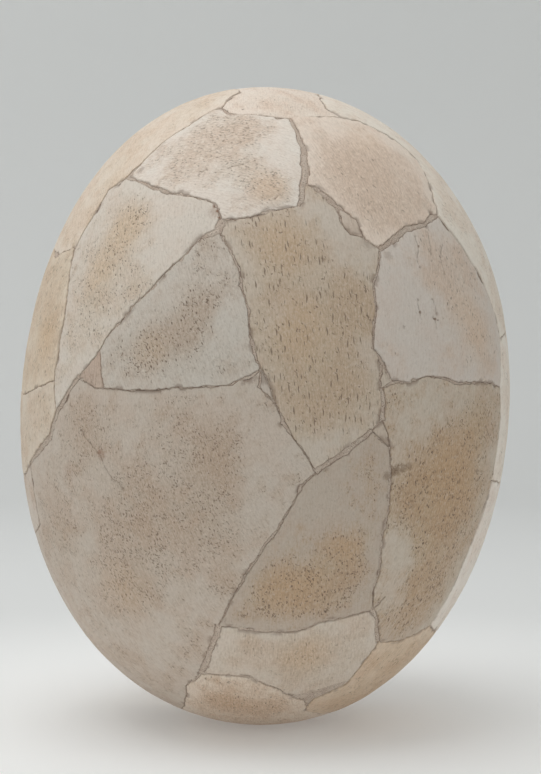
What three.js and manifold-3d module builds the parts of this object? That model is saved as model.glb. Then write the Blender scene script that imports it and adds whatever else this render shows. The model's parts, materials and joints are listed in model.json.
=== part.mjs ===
// A mended elephant bird egg: sherds of thick eggshell held together by a filler in the joints between them.
// Millimetres, +Z up. The egg stands on a small flat spot with its front towards -Y.

import * as THREE from 'three';
import { mergeVertices } from 'three/addons/utils/BufferGeometryUtils.js';
import Module from 'manifold-3d';

// Driving dimensions
const standingHeight = 300;
const greatestWidth = 232;
const footDepth = 2;
const shellThickness = 3.4;
const fullness = 2.07;
const seamWidth = 0.4;
const fillerGap = 0.3;
const fillerRecess = 0.3;

// A joint's strip runs from inside the shell to outside it, as parts of the way from the egg's heart
const stripInner = 0.85;
const stripOuter = 1.12;

// Fineness of the shell's two faces
const outsideFacets = { around: 28, upwards: 16 };
const insideFacets = { around: 18, upwards: 10 };

// The egg's half axes and the height of its middle, which follow from the driving dimensions
const radius = greatestWidth / 2;
const halfLength = (standingHeight + footDepth) / 2;
const middle = halfLength - footDepth;
const heart = new THREE.Vector3(0, 0, middle);

// The front view that the front's joints were read from. The eye is level with the egg's middle, which lies at
// eggInView, counted from the view's top left corner. viewScale is how far apart two lines of sight are in the
// view when they spread by one unit for each unit forwards.
const eyeDistance = 700;
const eggInView = { x: 265, y: 406 };
const viewScale = 1454;

// Sideways lean of the egg's axis, as the real egg is a little lopsided; part is -1 at the foot and 1 at the top.
function lean(height) {
  const part = (height - middle) / halfLength;
  return 2 * Math.sin(2.8 * part) - 1.2 * part * part;
}

// Radius of the egg at a height, for an egg shrunk by an inset on all sides.
function radiusAt(height, inset = 0) {
  const part = Math.min(Math.abs(height - middle) / (halfLength - inset), 1);
  return (radius - inset) * Math.pow(1 - Math.pow(part, fullness), 1 / fullness);
}

// How far out a point lies: under 1 inside the egg, 1 on its surface.
function outwardness(point) {
  const across = Math.hypot(point.x - lean(point.z), point.y) / radius;
  const up = Math.abs(point.z - middle) / halfLength;
  return Math.pow(Math.pow(across, fullness) + Math.pow(up, fullness), 1 / fullness);
}

// The point of the surface that the front view shows at x, y. Past the egg's edge it is the nearest point to it.
function seen([x, y]) {
  const eye = new THREE.Vector3(0, -eyeDistance, middle);
  const sight = new THREE.Vector3((x - eggInView.x) / viewScale, 1, (eggInView.y - y) / viewScale);
  const at = (distance) => eye.clone().addScaledVector(sight, distance);

  let [near, far] = [eyeDistance - 1.2 * radius, eyeDistance];
  for (let step = 0; step < 40; step++) {
    const third = (far - near) / 3;
    if (outwardness(at(near + third)) < outwardness(at(far - third))) far -= third;
    else near += third;
  }
  const deepest = near;

  [near, far] = [eyeDistance - 1.2 * radius, deepest];
  for (let step = 0; step < 40; step++) {
    const half = (near + far) / 2;
    if (outwardness(at(half)) > 1) near = half;
    else far = half;
  }
  const point = at(far);
  point.z -= middle;
  point.divideScalar(Math.max(1, outwardness(at(far))));
  point.z += middle;
  return point;
}

// A point of the surface by its bearing and height. Bearing 0 is the front, 90 the right side, 180 the back.
function around(bearing, height) {
  const turn = THREE.MathUtils.degToRad(bearing);
  const out = radiusAt(height);
  return new THREE.Vector3(lean(height) + out * Math.sin(turn), -out * Math.cos(turn), height);
}

const place = (point) => (point.isVector3 ? point.clone() : seen(point));

// Corners of the front where joints meet, as points of the front view
const crownLeft = [221, 107];
const crownMiddle = [289, 118];
const crownRight = [341, 118];
const leftShoulder = [127, 177];
const leftFlankTop = [75, 248];
const leftFlankLow = [54, 381.5];
const leftHollow = [56, 413];
const leftEdge = [30, 463];
const spurTop = [222, 220];
const spurFoot = [219, 231];
const spurEnd = [203, 238];
const bandFoot = [303, 184];
const bandEnd = [299, 206];
const lensTop = [337, 206];
const lensFoot = [364, 238];
const centreTop = [380, 250];
const rightShoulder = [438, 216];
const rightEdge = [499.5, 338];
const rightCorner = [500.5, 387];
const rightFlank = [491.5, 481];
const cornerTop = [384, 363];
const cornerRight = [393, 383];
const cornerLeft = [382, 389];
const notchTop = [384, 420];
const notchLeft = [372, 431];
const notchRight = [390.5, 449];
const crossing = [317, 471];
const sliverTop = [261, 369];
const sliverFoot = [273, 402];
const chipTop = [99, 350];
const chipLeft = [79, 377];
const chipRight = [104, 388.5];
const bandTopLeft = [218, 626];
const bandLowLeft = [201, 674];
const bandTopRight = [374, 609];
const bandRight = [378, 642];
const wedgeRight = [348, 682];
const wedgeMiddle = [309, 697];
const wedgeLeft = [293, 697];
const lowRight = [430, 626];

// Corners out of the front's sight
const crownBackLeft = around(-150, 289);
const crownBack = around(178, 284);
const crownBackRight = around(150, 288);
const leftUpper = around(-112, 226);
const leftMiddle = around(-118, 160);
const leftLower = around(-117, 117);
const leftBottom = around(-106, 86);
const leftFoot = around(-120, 50);
const rightUpper = around(126, 214);
const rightMiddle = around(118, 188);
const rightCentre = around(122, 146);
const rightLower = around(124, 112);
const rightFoot = around(112, 48);
const backTop = around(172, 240);
const backTopLeft = around(-158, 206);
const backTopRight = around(158, 198);
const backHeart = around(176, 166);
const backLeft = around(-148, 152);
const backRight = around(146, 136);
const backCentre = around(-174, 120);
const backLowRight = around(162, 90);
const backLowLeft = around(-150, 84);
const backLow = around(-170, 54);
const backFootRight = around(148, 48);
const footLeft = around(-112, 7);
const footBack = around(180, 11);
const footBackRight = around(146, 9);
const footRight = around(112, 8);

// The seams, where sherds meet edge to edge
const seams = [
  // Around the crown
  [crownLeft, [230, 98], [239, 93], around(-100, 299), around(-135, 296), crownBackLeft],
  [crownLeft, [229, 114], [241, 115], [270, 116], crownMiddle, crownRight],
  [crownRight, [325, 107], [318, 95], around(90, 296), around(130, 294), crownBackRight],
  [crownBackLeft, around(-170, 282), crownBack, crownBackRight],

  // Left shoulder and flank
  [crownLeft, [190, 125], [162, 143], [140, 165], leftShoulder],
  [leftShoulder, [108, 191], [90, 221], leftFlankTop],
  [leftFlankTop, [57, 256], leftUpper],
  [leftFlankTop, [70, 270], [63, 325], leftFlankLow, leftHollow],
  [leftFlankLow, [40, 387], [25, 394], leftMiddle],
  [leftShoulder, [149, 185], [170, 192], [203, 199], [214, 202], spurTop],

  // Below the crown
  [spurTop, [250, 217], [270, 211], [296, 207], bandEnd],
  [bandFoot, [315, 187], lensTop, [357, 220], [365, 240], centreTop],
  [lensTop, [341, 222], [349, 236], lensFoot],

  // Right shoulder and edge
  [crownRight, [360, 122], [389, 136], [415, 157], [428, 180], rightShoulder],
  [rightShoulder, [464, 250], [484, 284], [495, 315], rightEdge, rightCorner],
  [rightEdge, around(98, 187), rightMiddle],
  [rightCorner, [501, 413], rightFlank, [484, 510], [469, 550], [445, 601], lowRight],
  [rightFlank, around(96, 114), rightLower],

  // Upright seam right of the middle, with its two small chips
  [centreTop, [375, 284], [376, 311], [372.5, 348], cornerTop],
  [cornerTop, [380.5, 379], cornerLeft],
  [cornerTop, cornerRight, cornerLeft],
  [cornerRight, [409, 383.5], [427, 376], [459, 383.5], [485, 382], rightCorner],
  [notchTop, notchLeft, [380, 439], notchRight],
  [notchTop, [388, 432], notchRight],
  [notchRight, [391, 478], [389, 508], [381, 539], [379, 569], [374, 589], bandTopRight],
  [bandTopRight, [385, 597]],

  // Left of the middle
  [spurEnd, [150, 289], [120, 321], chipTop, chipLeft],
  [leftEdge, [34.5, 499], [40, 526], leftBottom],
  [leftEdge, [26, 473], leftLower],
  [chipTop, [101.5, 373], chipRight, [93, 387], chipLeft],
  [chipRight, [130, 391], [172, 388.5], [230, 384], [249, 376], sliverTop],
  [spurFoot, [227, 245], [238, 269], [249, 314], [250, 333], sliverTop],
  [sliverTop, [271, 389], sliverFoot],
  [sliverTop, [258.5, 385], sliverFoot],
  [sliverFoot, [282, 420], [302, 449], crossing],
  [crossing, [301, 485], [295, 502], [273, 535], [243, 577], bandTopLeft],

  // Around the lower band
  [bandTopLeft, [250, 630], [296, 631], [320, 623], bandTopRight],
  [bandRight, [400, 640], lowRight, rightFoot],
  [bandRight, [358, 669.5], wedgeRight],
  [bandLowLeft, [230, 675], [250, 678], [275, 687], wedgeLeft],
  [bandLowLeft, [186.5, 686], [184, 706], footLeft],
  [wedgeMiddle, [306, 710], around(62, 6), footRight],

  // The sides where they turn to the back
  [crownBackLeft, around(-130, 262), leftUpper, around(-121, 194), leftMiddle],
  [leftMiddle, around(-125, 138), leftLower, leftBottom, around(-119, 66), leftFoot],
  [leftFoot, footLeft],
  [crownBackRight, around(133, 250), rightUpper, rightMiddle, rightCentre, rightLower],
  [rightLower, around(117, 80), rightFoot, around(117, 26), footRight],

  // The back
  [crownBack, around(-178, 258), backTop],
  [leftUpper, around(-136, 222), backTopLeft],
  [backTopLeft, around(-174, 224), backTop, around(162, 222), backTopRight],
  [backTopRight, rightUpper],
  [backTopLeft, around(-170, 184), backHeart, around(170, 182), backTopRight],
  [backTopLeft, around(-150, 178), backLeft, leftMiddle],
  [backLeft, around(-163, 128), backCentre, around(-178, 142), backHeart],
  [backTopRight, backRight, rightCentre],
  [backRight, around(164, 128), backCentre],
  [backCentre, around(178, 100), backLowRight, around(156, 112), backRight],
  [backCentre, backLowLeft, around(-128, 92), leftBottom],
  [backLowRight, around(176, 66), backLow, backLowLeft],
  [backLow, leftFoot],
  [backLow, around(-176, 30), footBack],
  [backLowRight, around(152, 66), backFootRight, rightFoot],
  [backFootRight, footBackRight],
  [footLeft, around(-146, 9), footBack, footBackRight, footRight],
];

// The wide joints, which are packed with filler: paths of the front view with the joint's width in mm third
const fillings = {
  band_filler: [[...crownMiddle, 1.4], [298, 132, 1.9], [304, 153, 2.6], [306, 169, 3.5], [...bandFoot, 2.4],
    [303, 196, 2.2], [...bandEnd, 1.4]],
  spur_filler: [[...spurTop, 2.6], [...spurFoot, 3.2], [...spurEnd, 1.4]],
  shoulder_filler: [[...centreTop, 1.4], [393, 241, 2.8], [406, 229, 2.6], [424, 224, 1.4], [433, 217, 2.8],
    [...rightShoulder, 1.6]],
  corner_filler: [[...cornerLeft, 1.6], [...notchTop, 2.2]],
  middle_filler: [[...notchLeft, 1.6], [352, 447, 2], [330, 460, 2.2], [...crossing, 1.8]],
  left_filler: [[...chipLeft, 1.5], [66, 395, 1.9], [...leftHollow, 2], [50, 438, 2], [...leftEdge, 1.7]],
  lower_corner_filler: [[...bandTopLeft, 2.8], [210, 653, 2], [...bandLowLeft, 2.2]],
  lower_right_filler: [[...bandTopRight, 1.5], [...bandRight, 2.2]],
  wedge_filler: [[...wedgeRight, 1.4], [328, 690, 2.2], [...wedgeMiddle, 3.8], [...wedgeLeft, 2]],
};

// Colours of the sherds and the filler
const cream = 0xd8c9b2;
const whitish = 0xd0c6b5;
const greyish = 0xc2b8a6;
const rosy = 0xc9b29c;
const sandy = 0xc2ab8d;
const fillerColour = 0x94866f;

// Every sherd's name, with a point inside it and its colour
const sherds = {
  crown: { at: [270, 104], colour: cream },
  left_shoulder: { at: [150, 140], colour: cream },
  upper_middle: { at: [240, 160], colour: whitish },
  upper_right: { at: [370, 180], colour: rosy },
  right_shoulder: { at: around(95, 235), colour: whitish },
  left_upper: { at: [120, 240], colour: sandy },
  left_rim_upper: { at: [45, 330], colour: sandy },
  left_rim_lower: { at: [40, 415], colour: sandy },
  left_rim_sliver: { at: around(-92, 104), colour: rosy },
  middle_left: { at: [190, 330], colour: greyish },
  left_chip: { at: [93, 372], colour: rosy },
  centre: { at: [310, 330], colour: sandy },
  lens_chip: { at: [352, 224], colour: cream },
  sliver_chip: { at: [265, 387], colour: whitish },
  right_upper: { at: [430, 310], colour: greyish },
  right_rim_upper: { at: around(100, 150), colour: whitish },
  right_rim_lower: { at: around(100, 80), colour: whitish },
  corner_chip: { at: [386, 379], colour: whitish },
  notch_chip: { at: [382, 432], colour: whitish },
  right_lower: { at: [440, 500], colour: sandy },
  lower_left: { at: [150, 520], colour: rosy },
  lower_centre: { at: [330, 540], colour: sandy },
  lower_band: { at: [290, 655], colour: cream },
  lower_right: { at: [395, 665], colour: sandy },
  foot: { at: [240, 700], colour: rosy },
  back_crown_left: { at: around(-155, 255), colour: cream },
  back_crown_right: { at: around(155, 250), colour: rosy },
  back_left_upper: { at: around(-134, 190), colour: sandy },
  back_diamond: { at: around(176, 200), colour: whitish },
  back_right_upper: { at: around(136, 178), colour: greyish },
  back_heart_left: { at: around(-163, 155), colour: rosy },
  back_heart_right: { at: around(163, 150), colour: sandy },
  back_chip: { at: around(170, 112), colour: cream },
  back_left_middle: { at: around(-136, 120), colour: greyish },
  back_centre: { at: around(-175, 84), colour: sandy },
  back_right_lower: { at: around(138, 92), colour: cream },
  back_left_lower: { at: around(-135, 72), colour: rosy },
  back_foot_left: { at: around(-140, 30), colour: cream },
  back_foot_middle: { at: around(170, 40), colour: greyish },
  back_foot_right: { at: around(132, 28), colour: rosy },
};

const wasm = await Module();
wasm.setup();

// A closed solid from a geometry, with its doubled vertices merged and its flat triangles dropped.
function solidFrom(geometry) {
  geometry.deleteAttribute('normal');
  geometry.deleteAttribute('uv');
  const merged = mergeVertices(geometry, 1e-4);
  const corners = merged.index.array;
  const kept = [];
  for (let first = 0; first < corners.length; first += 3) {
    const [a, b, c] = corners.slice(first, first + 3);
    if (a !== b && b !== c && c !== a) kept.push(a, b, c);
  }
  const vertProperties = Float32Array.from(merged.attributes.position.array);
  const triVerts = Uint32Array.from(kept);
  return new wasm.Manifold(new wasm.Mesh({ numProp: 3, vertProperties, triVerts }));
}

// The whole egg as a solid, shrunk by an inset on all sides and cut flat at its foot.
function eggSolid(inset, facets) {
  const footAngle = Math.asin(Math.pow((middle - inset) / (halfLength - inset), fullness / 2));
  const profile = [new THREE.Vector2(0, inset)];
  for (let ring = 0; ring < facets.upwards; ring++) {
    const angle = THREE.MathUtils.lerp(-footAngle, Math.PI / 2, ring / facets.upwards);
    const rise = Math.sign(angle) * Math.pow(Math.abs(Math.sin(angle)), 2 / fullness);
    const height = middle + rise * (halfLength - inset);
    profile.push(new THREE.Vector2(radiusAt(height, inset), height));
  }
  profile.push(new THREE.Vector2(0, standingHeight - inset));
  const geometry = new THREE.LatheGeometry(profile, facets.around);
  geometry.rotateX(Math.PI / 2);
  const position = geometry.attributes.position;
  for (let i = 0; i < position.count; i++) {
    position.setX(i, position.getX(i) + lean(position.getZ(i)));
  }
  return solidFrom(geometry);
}

// One joint as a strip that stands square through the shell, drawn in from its sides and ends by a margin.
function strip(path, margin) {
  const points = path.map((point) => place(point).sub(heart));
  const widths = path.map((point) => (point.isVector3 ? seamWidth : point[2] ?? seamWidth));
  const last = points.length - 1;
  const shorten = (end, next) => {
    const inwards = points[next].clone().sub(points[end]).normalize();
    points[end].addScaledVector(inwards, margin - fillerGap);
  };
  shorten(0, 1);
  shorten(last, last - 1);

  const corners = [];
  points.forEach((point, i) => {
    const before = point.clone().sub(points[Math.max(i - 1, 0)]).normalize();
    const after = points[Math.min(i + 1, last)].clone().sub(point).normalize();
    const along = before.clone().add(after).normalize();
    const bend = i > 0 && i < last ? before.dot(after) : 1;
    const mitre = 1 / Math.sqrt(Math.max((1 + bend) / 2, 0.4));
    const side = along.cross(point).normalize().multiplyScalar(mitre * (widths[i] / 2 - margin));
    for (const [sign, reach] of [[1, stripInner], [-1, stripInner], [-1, stripOuter], [1, stripOuter]]) {
      const corner = point.clone().addScaledVector(side, sign).multiplyScalar(reach).add(heart);
      corners.push(corner.x, corner.y, corner.z);
    }
  });

  const index = [0, 2, 1, 0, 3, 2];
  for (let i = 0; i < last; i++) {
    for (let k = 0; k < 4; k++) {
      const [a, b] = [4 * i + k, 4 * i + (k + 1) % 4];
      index.push(a, b, a + 4, b, b + 4, a + 4);
    }
  }
  const end = 4 * last;
  index.push(end, end + 1, end + 2, end, end + 2, end + 3);
  const geometry = new THREE.BufferGeometry();
  geometry.setAttribute('position', new THREE.Float32BufferAttribute(corners, 3));
  geometry.setIndex(index);
  return solidFrom(geometry);
}

function geometryFrom(solid) {
  const mesh = solid.getMesh();
  const geometry = new THREE.BufferGeometry();
  geometry.setAttribute('position', new THREE.Float32BufferAttribute(mesh.vertProperties, mesh.numProp));
  geometry.setIndex(new THREE.BufferAttribute(Uint32Array.from(mesh.triVerts), 1));
  geometry.computeVertexNormals();
  return geometry;
}

function shellMaterial(colour) {
  return new THREE.MeshStandardMaterial({ color: colour, roughness: 0.72, metalness: 0 });
}

const egg = new THREE.Group();

// The shell, broken along its joints. A sherd takes the name whose point a line from the egg's heart passes.
const joints = [...seams, ...Object.values(fillings)].map((path) => strip(path, 0));
const shell = eggSolid(0, outsideFacets).subtract(eggSolid(shellThickness, insideFacets));
const pieces = joints.reduce((rest, joint) => rest.subtract(joint), shell).decompose();
const bothSides = new THREE.MeshBasicMaterial({ side: THREE.DoubleSide });
const pieceMeshes = pieces.map((piece) => new THREE.Mesh(geometryFrom(piece), bothSides));
for (const [name, sherd] of Object.entries(sherds)) {
  const line = new THREE.Raycaster(heart, place(sherd.at).sub(heart).normalize());
  const [hit] = line.intersectObjects(pieceMeshes);
  if (!hit) throw new Error(`no sherd at the point of ${name}`);
  if (hit.object.name) throw new Error(`${name} and ${hit.object.name} are one sherd`);
  hit.object.name = name;
  hit.object.material = shellMaterial(sherd.colour);
  egg.add(hit.object);
}

// The filler in each wide joint, a little below the shell's surface
const fillerShell = eggSolid(fillerRecess, outsideFacets)
  .subtract(eggSolid(shellThickness - fillerRecess, insideFacets));
for (const [name, path] of Object.entries(fillings)) {
  const filler = new THREE.Mesh(geometryFrom(fillerShell.intersect(strip(path, fillerGap))));
  filler.name = name;
  filler.material = shellMaterial(fillerColour);
  egg.add(filler);
}

export default egg;
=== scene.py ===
import json
import math

import bmesh
import bpy
import numpy as np
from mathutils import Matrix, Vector, kdtree, noise
from mathutils.geometry import delaunay_2d_cdt


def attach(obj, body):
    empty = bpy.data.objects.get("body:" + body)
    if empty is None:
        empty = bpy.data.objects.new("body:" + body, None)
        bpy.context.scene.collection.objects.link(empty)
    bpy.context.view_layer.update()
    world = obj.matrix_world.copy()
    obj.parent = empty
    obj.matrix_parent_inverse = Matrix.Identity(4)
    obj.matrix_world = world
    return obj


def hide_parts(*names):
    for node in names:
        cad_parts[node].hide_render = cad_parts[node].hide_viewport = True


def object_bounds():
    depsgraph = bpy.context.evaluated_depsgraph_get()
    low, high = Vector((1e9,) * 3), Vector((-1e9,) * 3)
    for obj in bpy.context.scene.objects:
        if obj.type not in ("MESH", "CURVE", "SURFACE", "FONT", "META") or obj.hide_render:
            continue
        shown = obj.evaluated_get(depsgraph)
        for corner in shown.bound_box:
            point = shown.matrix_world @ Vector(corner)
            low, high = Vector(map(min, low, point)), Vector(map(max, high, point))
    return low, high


# The looks of a mended elephant bird egg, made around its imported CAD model. Every sherd is made again as a
# fine closed mesh inside the rim of its CAD solid, with worn and chipped edges, and one gritty filler mesh
# lies in all the joints between them. Lengths are in millimetres until a mesh is written.
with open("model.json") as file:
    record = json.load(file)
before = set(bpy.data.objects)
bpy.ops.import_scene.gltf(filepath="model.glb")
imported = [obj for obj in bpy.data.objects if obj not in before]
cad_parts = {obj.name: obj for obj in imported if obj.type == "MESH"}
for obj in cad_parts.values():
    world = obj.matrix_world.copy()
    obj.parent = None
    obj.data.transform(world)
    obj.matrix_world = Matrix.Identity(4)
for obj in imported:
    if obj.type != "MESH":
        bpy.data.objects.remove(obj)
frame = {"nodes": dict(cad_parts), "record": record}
cad_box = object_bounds()

# The nodes, and the sherds in the order in which they are made
SLOT_OF = {row["node"]: row["material_slot"] for row in frame["record"]["subparts"]}
SHERD_NODES = [node for node, slot in SLOT_OF.items() if slot != "joint_filler"]
FILLER_NODES = [node for node, slot in SLOT_OF.items() if slot == "joint_filler"]

MM = 0.001

# The egg, as the CAD model has it
STANDING_HEIGHT = (cad_box[1].z - cad_box[0].z) / MM
RADIUS = 116.0
FOOT_DEPTH = 2.0
FULLNESS = 2.07
SHELL = 3.4
HALF_LENGTH = (STANDING_HEIGHT + FOOT_DEPTH) / 2
MIDDLE = HALF_LENGTH - FOOT_DEPTH
HEART = np.array([0.0, 0.0, MIDDLE])
LEAN_SWING = 2
LEAN_TURN = 2.8
LEAN_BOW = 1.2
FITTING_ROUNDS = 12

# A CAD corner lies on the outer face from this part of the way out from the egg's axis
OUTSIDE_FROM = 0.98

# Each rim is read from the point that is furthest from this side, whatever the order of its mesh's corners
START_SIDE = np.array([0.31, 0.57, 0.76])

# The photograph's view: an eye level with the egg's middle, which lies at EGG_IN_VIEW in the picture.
# VIEW_SCALE is how many pixels apart two lines of sight are when they spread by one unit for each forwards
EYE_DISTANCE = 700.0
VIEW_SCALE = 1454.0
PICTURE = (541, 774)
EGG_IN_VIEW = (265.0, 406.0)
SIGHT_STEPS = 2000

# How fine the meshes are. A rim row is how far in from the edge it lies and the step along it
RIM_STEP = 0.55
RIM_ROWS = ((0.2, 0.55), (0.48, 0.65), (0.9, 0.85), (1.5, 1.2))
SURFACE_STEP = 1.7
SURFACE_FROM_RIM = 2.1
INSIDE_STEP = 9.0
INSIDE_FROM_RIM = 3
NET_ROWS = 0.866
NET_SCATTER = 0.22
SHORTEST_EDGE = 0.08
PLACES_AT_ONCE = 4000

# What delaunay_2d_cdt is asked for: all its triangles, or only those inside the loop that it is given
ALL_TRIANGLES = 0
INSIDE_ONLY = 1

# The sherds' edges. GAP is how far an edge lies inside its CAD rim, or outside it where it is below 0.
# A nibble is the fineness of its noise, the level above which it bites, and how deep it bites
GAP = -0.06
GAP_CHANGE = 0.14
SLOW_JAG = 1.0
QUICK_JAG = 0.3
NIBBLES = ((0.35, 0.18, 1.4), (0.9, 0.15, 0.8))

# Where joints are wider: a point of the photograph, a radius in mm and how much wider each side is there,
# or narrower where it is below 0
WIDE_JOINTS = (
    (150, 186, 14, 0.45), (136, 172, 6, 0.6), (232, 111, 6, 0.7), (57, 252, 8, 0.9),
    (252, 380, 6, 0.5), (280, 430, 7, 0.35), (455, 381, 16, 0.4), (400, 380, 8, 0.3),
    (378, 300, 34, 0.22), (262, 540, 30, 0.22), (300, 480, 8, 0.3), (300, 630, 40, 0.18),
    (387, 530, 40, 0.22), (240, 680, 26, 0.25), (130, 310, 30, 0.15), (175, 285, 8, 0.3),
    (250, 300, 30, 0.15), (262, 350, 8, 0.35), (45, 440, 16, 0.25), (384, 360, 6, 0.4),
    (222, 222, 6, 0.2), (410, 660, 16, 0.2), (326, 195, 8, 0.8), (334, 205, 6, 0.5),
    (322, 693, 14, 2.0), (100, 215, 18, -0.08), (180, 142, 20, -0.08), (62, 320, 30, -0.08),
    (300, 115, 20, -0.08), (390, 145, 30, -0.1), (470, 270, 40, -0.08), (440, 560, 30, -0.08),
)

# The sherds' faces: how deep their flakes are, how high or low and how tipped each one sits, and between
# which heights they turn from the flat foot to an uneven face
FLAKE_DEPTH = 0.35
LEVELS = (-0.12, 0.16)
TIPPING = 0.003
FLAT_BELOW = 0.5
UNEVEN_FROM = 6.0

# The hairline cracks
CRACK_DEPTH = 0.4
CRACK_HALF_WIDTH = 0.32
CRACK_STEP = 0.4
CRACK_WOBBLE = 0.35
CRACK_FREE = 0.6
NO_CRACK = 99.0

# The filler: its rows of points beside the sherds' edges, the size of the cells that hold one point each,
# how deep it lies at an edge, how far it rises away from one, and where it ends below
FILLER_ROWS = (0.42, 0.85, 1.3)
FILLER_CELL = 0.4
FILLER_CLEAR = 0.3
FILLER_DEPTH = 0.42
FILLER_RISE = 0.2
FILLER_BOTTOM = SHELL - 0.3

# The foot's edge goes round all the others in the filler's flat map, because it holds the lowest point
OUTERMOST = SHERD_NODES.index("foot")

# Seeds of each sherd's noise and of its random draws
NOISE_SHIFT = 13.7
FIRST_SEED = 100

# Each sherd's pattern lies in a layer of its own, this many mm from the next
LAYER = 40.0


def lean(height):
    """Sideways lean of the egg's axis at a height."""
    part = (height - MIDDLE) / HALF_LENGTH
    return LEAN_SWING * np.sin(LEAN_TURN * part) - LEAN_BOW * part**2


def outwardness(points):
    """Under 1 inside the egg and 1 on its surface."""
    across = np.hypot(points[:, 0] - lean(points[:, 2]), points[:, 1]) / RADIUS
    up = np.abs(points[:, 2] - MIDDLE) / HALF_LENGTH
    return (across**FULLNESS + up**FULLNESS) ** (1 / FULLNESS)


def unit(vectors):
    """The vectors with a length of 1."""
    return vectors / np.linalg.norm(vectors, axis=-1, keepdims=True)


def on_egg(directions):
    """The points of the smooth egg that lie in these directions from its heart."""
    reach = np.full(len(directions), RADIUS)
    for _ in range(FITTING_ROUNDS):
        reach = reach / outwardness(HEART + directions * reach[:, None])
    points = HEART + directions * reach[:, None]
    below = points[:, 2] < 0
    points[below] = HEART - directions[below] * (MIDDLE / directions[below, 2])[:, None]
    return points


def seen(x, y):
    """The direction from the egg's heart to the point that the photograph shows at x, y."""
    eye = np.array([0.0, -EYE_DISTANCE, MIDDLE])
    sight = np.array([(x - EGG_IN_VIEW[0]) / VIEW_SCALE, 1.0, (EGG_IN_VIEW[1] - y) / VIEW_SCALE])
    forwards = np.linspace(EYE_DISTANCE - 1.2 * RADIUS, EYE_DISTANCE, SIGHT_STEPS)
    points = eye + sight * forwards[:, None]
    out = outwardness(points)
    first = np.argmax(out <= 1) if (out <= 1).any() else np.argmin(out)
    return unit(points[first] - HEART)


def noises(points, scale, shift=0.0):
    """Smooth noise, about -0.5 to 0.5, at points in mm, with features of about 1 / scale mm."""
    offset = Vector((shift, shift * 0.7, 3.1))
    return np.array([noise.noise(Vector(p * scale) + offset) for p in points])


def smooth(values, low, high):
    """0 below low, 1 above high and a smooth step between."""
    part = np.clip((values - low) / (high - low), 0, 1)
    return part * part * (3 - 2 * part)


class Chart:
    """A flat map of the egg's surface around one direction, in mm."""

    def __init__(self, centre):
        self.centre = unit(centre)
        near_pole = abs(self.centre[2]) >= 0.95
        up = np.array([0.0, 1.0, 0.0]) if near_pole else np.array([0.0, 0.0, 1.0])
        self.right = unit(np.cross(up, self.centre))
        self.up = np.cross(self.centre, self.right)
        self.reach = np.linalg.norm(on_egg(self.centre[None])[0] - HEART)

    def flat(self, directions):
        """The map's places of these directions."""
        angle = np.arccos(np.clip(directions @ self.centre, -1, 1))
        side = np.stack([directions @ self.right, directions @ self.up], axis=-1)
        length = np.maximum(np.linalg.norm(side, axis=-1), 1e-12)
        return side * (angle * self.reach / length)[:, None]

    def back(self, places):
        """The directions of these places of the map."""
        length = np.maximum(np.linalg.norm(places, axis=-1), 1e-12)
        angle = length / self.reach
        side = (places[:, :1] * self.right + places[:, 1:] * self.up) / length[:, None]
        return np.cos(angle)[:, None] * self.centre + np.sin(angle)[:, None] * side


def loops_from(edges):
    """Closed loops made of directed edges."""
    following = {a: b for a, b in edges}
    loops = []
    while following:
        start, here = following.popitem()
        loop = [start]
        while here != start and here in following:
            loop.append(here)
            here = following.pop(here)
        loops.append(loop)
    return loops


def rim_of(node):
    """A CAD sherd's outer rim: a loop of directions from the egg's heart, anticlockwise from outside."""
    shape = bmesh.new()
    shape.from_mesh(frame["nodes"][node].data)
    bmesh.ops.remove_doubles(shape, verts=shape.verts, dist=2e-6)
    shape.verts.index_update()
    points = np.array([v.co for v in shape.verts]) / MM
    outside = outwardness(points) > OUTSIDE_FROM
    faces = {f for f in shape.faces if all(outside[v.index] for v in f.verts)}
    following = {}
    for face in faces:
        for corner in face.loops:
            if any(f not in faces for f in corner.edge.link_faces):
                following[corner.vert.index] = corner.link_loop_next.vert.index
    shape.free()
    longest = max(loops_from(following.items()), key=len)
    rim = unit(points[longest] - HEART)
    return np.roll(rim, -np.argmin(rim @ START_SIDE), axis=0)


def resampled(directions, step):
    """The same closed loop on the egg with points no further apart than a step."""
    points = on_egg(directions)
    gaps = np.linalg.norm(np.roll(points, -1, axis=0) - points, axis=1)
    fine = []
    for here, there, gap in zip(directions, np.roll(directions, -1, axis=0), gaps):
        parts = np.arange(0, 1, 1 / max(1, math.ceil(gap / step)))
        fine.append(here + (there - here) * parts[:, None])
    return unit(np.concatenate(fine))


def jagged(directions):
    """The loop moved by a noise that is the same on both sides of a joint, as a break's edges match."""
    points = on_egg(directions)
    slow = np.array([noise.noise_vector(Vector(p * 0.1)) for p in points])
    quick = np.array([noise.noise_vector(Vector(p * 0.5 + 7.0)) for p in points])
    return unit(points + SLOW_JAG * slow + QUICK_JAG * quick - HEART)


def widening(points):
    """How much wider than a hairline each side of a joint is at these points."""
    extra = np.zeros(len(points))
    for x, y, radius, more in WIDE_JOINTS:
        away = np.linalg.norm(points - on_egg(seen(x, y)[None]), axis=1)
        extra += more * (1 - smooth(away, 0.4 * radius, radius))
    return extra


def inset_of(points, seed):
    """How far inside its CAD rim a sherd's edge lies at these points of the rim."""
    inset = GAP + GAP_CHANGE * smooth(noises(points, 0.07), 0.0, 0.35) + widening(points)
    for scale, level, depth in NIBBLES:
        inset += np.clip(noises(points, scale, seed) - level, 0, None) * depth
    return inset


def normals_of(loop):
    """Normals of a closed anticlockwise loop that point into it."""
    along = unit(np.roll(loop, -2, axis=0) - np.roll(loop, 2, axis=0) + 1e-9)
    return np.stack([-along[:, 1], along[:, 0]], axis=-1)


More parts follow.
